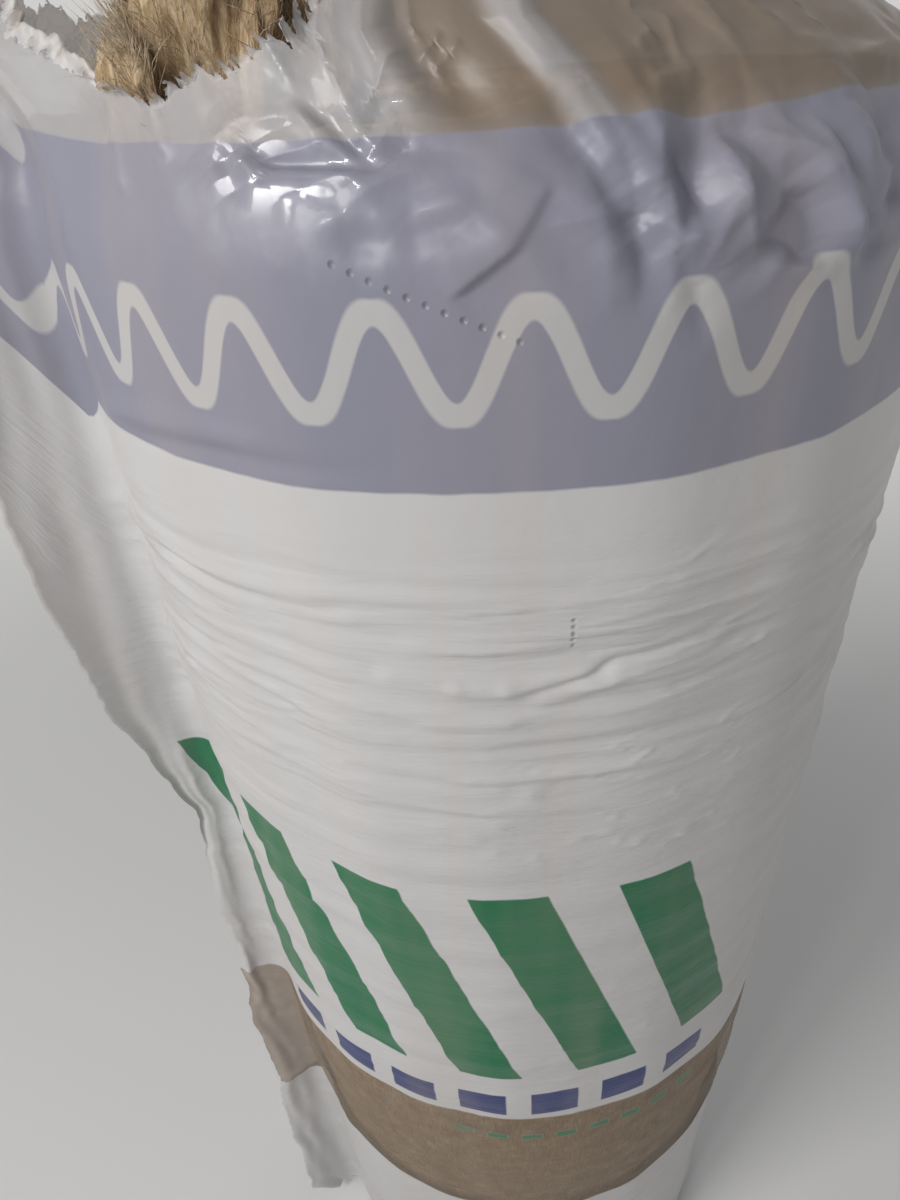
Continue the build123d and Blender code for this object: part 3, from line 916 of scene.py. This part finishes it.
# The film is warm where it lies on the wool: in the window, and on the crown to the right of the tear and
# behind it, but not on the lifted strip. The warm part's edge is at film_aside 0 in front of the roll's
# middle and turns to the back left behind it, broad and uneven.
film_x = (profile_length[-1] - film_length) * np.sin(np.radians(film_degrees))
film_y = (film_length - profile_length[-1]) * np.cos(np.radians(film_degrees))
film_back = np.clip(film_y + 0.03, 0, None)
film_aside = film_x + 0.8 * film_back + 0.25 * film_back * swell((film_x, film_y), (0.08, 0.08), 47, 10)
warm_side = smooth(0.0, 1.0, (film_aside + 0.03 + 0.3 * film_back) / (0.03 + 0.6 * film_back))
warm_crown = warm_side * smooth(1.13, 1.155, film_length) * (1 - 0.85 * np.clip(lifted, 0, 1))
warm_below, torn_width = 0.6, 0.0028
shine_spread = 0.7 + 0.45 * round_swell(np.radians(film_degrees), film_length, 0.03, 0.02, 46)
film_marks = {
    "torn": np.exp(-((edge_gap / torn_width) ** 2)),
    "gap": 1000 * edge_gap,
    "warm": np.where(film_length < warm_below, 1.0, warm_crown),
    "shine": np.clip(1.2 * glossy_patch(film_degrees, film_length) * shine_spread, 0, 1),
}
split_row = len(side_length) - 1
for name, rows in (("film_sleeve", slice(0, split_row + 1)), ("film_crown", slice(split_row, None))):
    marks = {mark: values[rows] for mark, values in film_marks.items()}
    film_piece(name, film_points[rows], film_uv[rows], True, marks, film_normals[rows])


# The fin: the spare width of the sleeve, welded flat along its edge. It stands out at the left from the
# foot up to the torn mouth, and leaves the roll in a rounded root on both sides.

# Height up the roll and the fin's reach there, in mm
fin_outline = (
    (12, 34), (40, 58), (140, 56), (300, 51), (350, 47), (440, 41), (550, 37), (630, 33), (676, 28),
    (712, 30), (772, 42), (833, 53), (900, 62), (956, 67), (990, 63), (1040, 58), (1096, 47), (1135, 30),
    (1160, 19), (1178, 17), (1190, 10),
)
root_radius = 0.018
strip_width = 0.010


def film_fin(rows, columns):
    """Two layers that meet at the edge. From each side a short strip lies on the sleeve, a quarter circle
    turns it outwards, and it runs straight to the edge. The reach follows the listed places. Sines sway
    the fin as a whole and fold it in pleats that grow towards its edge."""
    along = np.linspace(0.012, 1.190, rows)[:, None]
    across = np.linspace(-1, 1, columns)[None, :]
    side, out = np.sign(across), 1 - np.abs(across)
    reach = np.interp(along * 1000, *np.array(fin_outline).T) / 1000
    reach = reach + 0.0016 * np.sin(along * 31 + 1.0) + 0.0009 * np.sin(along * 77)
    root = np.minimum(root_radius, 0.5 * reach)
    strip_end, root_end = 0.12, 0.42
    on_strip = np.clip(out / strip_end, 0, 1)
    angle = np.clip((out - strip_end) / (root_end - strip_end), 0, 1) * np.pi / 2
    flat = np.clip((out - root_end) / (1 - root_end), 0, 1)
    gap = 0.0008 * (1 - flat) + 0.0001
    aside = gap + strip_width * (1 - on_strip) + root * (1 - np.sin(angle))
    stand = root * (1 - np.cos(angle)) + (reach - root) * flat
    path = strip_width * on_strip + root * angle + (reach - root) * flat
    free = smooth(0.0, 0.9, out - strip_end)
    sway = 0.0045 * np.sin(8.5 * along + 0.4) + 0.002 * np.sin(23 * along)
    pleats = 0.0028 * np.sin(2 * np.pi * 1.3 * out + 5.0 * along + 0.9 * np.sin(9 * along))
    pleats = pleats + 0.0012 * swell((along + 0 * out, out * 0.06 + 0 * along), (0.11, 0.022), 51, 16)
    off = 0.0003 - 0.0016 * (1 - on_strip)
    base = film_surface(fin_azimuth + side * aside / film_radius, along + 0 * across, off)
    radial = np.array([np.sin(fin_azimuth), -np.cos(fin_azimuth), 0.0])
    sideways = np.array([np.cos(fin_azimuth), np.sin(fin_azimuth), 0.0])
    points = base + stand[..., None] * radial + ((sway + pleats) * free)[..., None] * sideways
    # The band runs off the fin at a slant.
    band_slant = 0.014 * smooth(0.05, 0.3, out) - 1.6 * np.clip(stand - 0.006, 0, 1)
    band_shift = smooth(0.88, 1.0, along) * band_slant
    u = fin_azimuth * print_radius + side * (root + strip_width - path)
    return points, np.stack([u, along + band_shift], -1), stand


fin_points, fin_uv, fin_stand = film_fin(380, 56)
fin_marks = {"torn": 0.12 * smooth(0.0, 0.03, fin_stand), "gap": 200 + 0 * fin_stand}
fin_marks.update({"warm": 0 * fin_stand, "shine": 0 * fin_stand})
film_piece("film_fin", fin_points, fin_uv, False, fin_marks)


# The floor, the light and the camera. The floor is plain and pale, and fades far away into a sky of the
# same tone.

pale_tone = (0.62, 0.615, 0.605)
floor_half = 30
floor_corners = [(x * floor_half, y * floor_half, 0) for x, y in ((-1, -1), (1, -1), (1, 1), (-1, 1))]


def mix_shaders(tree, amount, first, second, output):
    """Mixes two shaders by an amount, for the Surface of the output node of that name."""
    node = tree.nodes.new("ShaderNodeMixShader")
    for socket, source in zip(node.inputs, (amount, first, second)):
        tree.links.new(source, socket)
    tree.links.new(node.outputs[0], tree.nodes[output].inputs["Surface"])


floor_mesh = bpy.data.meshes.new("floor")
floor_mesh.from_pydata(floor_corners, [], [(0, 1, 2, 3)])
floor = bpy.data.objects.new("floor", floor_mesh)
bpy.context.scene.collection.objects.link(floor)
floor_paint = bpy.data.materials.new("floor")
floor_paint.use_nodes = True
floor_tree = floor_paint.node_tree
floor_shader = floor_tree.nodes["Principled BSDF"]
floor_shader.inputs["Base Color"].default_value = (0.88, 0.875, 0.865, 1)
floor_shader.inputs["Roughness"].default_value = 0.9
far_glow = floor_tree.nodes.new("ShaderNodeEmission")
far_glow.inputs["Color"].default_value = (*pale_tone, 1)
floor_place = floor_tree.nodes.new("ShaderNodeTexCoord").outputs["Object"]
floor_far = floor_tree.nodes.new("ShaderNodeVectorMath")
floor_far.operation = "LENGTH"
floor_tree.links.new(floor_place, floor_far.inputs[0])
fade = floor_tree.nodes.new("ShaderNodeMapRange")
fade.interpolation_type = "SMOOTHSTEP"
fade.inputs["From Min"].default_value = 0.6
fade.inputs["From Max"].default_value = 3.0
floor_tree.links.new(floor_far.outputs["Value"], fade.inputs["Value"])
floor_shaders = floor_shader.outputs[0], far_glow.outputs[0]
mix_shaders(floor_tree, fade.outputs["Result"], *floor_shaders, "Material Output")
floor_mesh.materials.append(floor_paint)

world = bpy.data.worlds.new("world")
bpy.context.scene.world = world
world.use_nodes = True
world_tree = world.node_tree
room = world_tree.nodes["Background"]
room.inputs["Color"].default_value = (0.93, 0.94, 0.96, 1)
room.inputs["Strength"].default_value = 0.21
sky = world_tree.nodes.new("ShaderNodeBackground")
sky.inputs["Color"].default_value = (*pale_tone, 1)
rays = world_tree.nodes.new("ShaderNodeLightPath")
seen = calc(world_tree, "ADD", rays.outputs["Is Camera Ray"], rays.outputs["Is Transmission Ray"])
seen = calc(world_tree, "MINIMUM", calc(world_tree, "ADD", seen, rays.outputs["Is Glossy Ray"]), 1.0)
mix_shaders(world_tree, seen, room.outputs[0], sky.outputs[0], "World Output")


def soft_lamp(name, place, target, size, power, colour):
    """A square area lamp that looks at a point. size is its side in metres, and power is in watts."""
    data = bpy.data.lights.new(name, "AREA")
    data.size = size
    data.energy = power
    data.color = colour
    lamp = bpy.data.objects.new(name, data)
    lamp.location = place
    lamp.rotation_euler = (Vector(target) - Vector(place)).to_track_quat("-Z", "Y").to_euler()
    bpy.context.scene.collection.objects.link(lamp)


soft_lamp("key", (-1.75, -1.45, 2.25), (0, 0, 0.9), 0.9, 36, (1.0, 0.99, 0.98))
soft_lamp("fill", (2.2, -1.4, 1.6), (0, 0, 0.8), 1.8, 1.5, (0.96, 0.97, 1.0))
soft_lamp("back", (0.8, 2.4, 2.2), (0, 0, 0.9), 1.6, 9, (1.0, 0.99, 0.98))
soft_lamp("sparkle", (-0.7, -1.2, 1.75), (0, -0.1, 1.1), 0.12, 2.5, (1.0, 1.0, 1.0))

# The camera's angles: down from level, turned from +Y towards +X, and tilted about its own view
pitch, bearing, tilt = np.radians([35.53, -4.57, -4.466])
forward = Vector((np.sin(bearing) * np.cos(pitch), np.cos(bearing) * np.cos(pitch), -np.sin(pitch)))
level = Vector((np.cos(bearing), -np.sin(bearing), 0.0))
upright = level.cross(forward)
camera_x = np.cos(tilt) * level + np.sin(tilt) * upright
camera_y = -np.sin(tilt) * level + np.cos(tilt) * upright
camera_data = bpy.data.cameras.new("camera")
camera_data.sensor_fit = "VERTICAL"
camera_data.sensor_height = 36.0
camera_data.lens = 24.0
camera_data.clip_start = 0.01
camera = bpy.data.objects.new("camera", camera_data)
turned = Matrix((camera_x, camera_y, -forward)).transposed().to_4x4()
camera.matrix_world = Matrix.Translation((0.0, -0.4812, 1.1687)) @ turned
bpy.context.scene.collection.objects.link(camera)
bpy.context.scene.camera = camera
bpy.context.scene.view_settings.view_transform = "Standard"
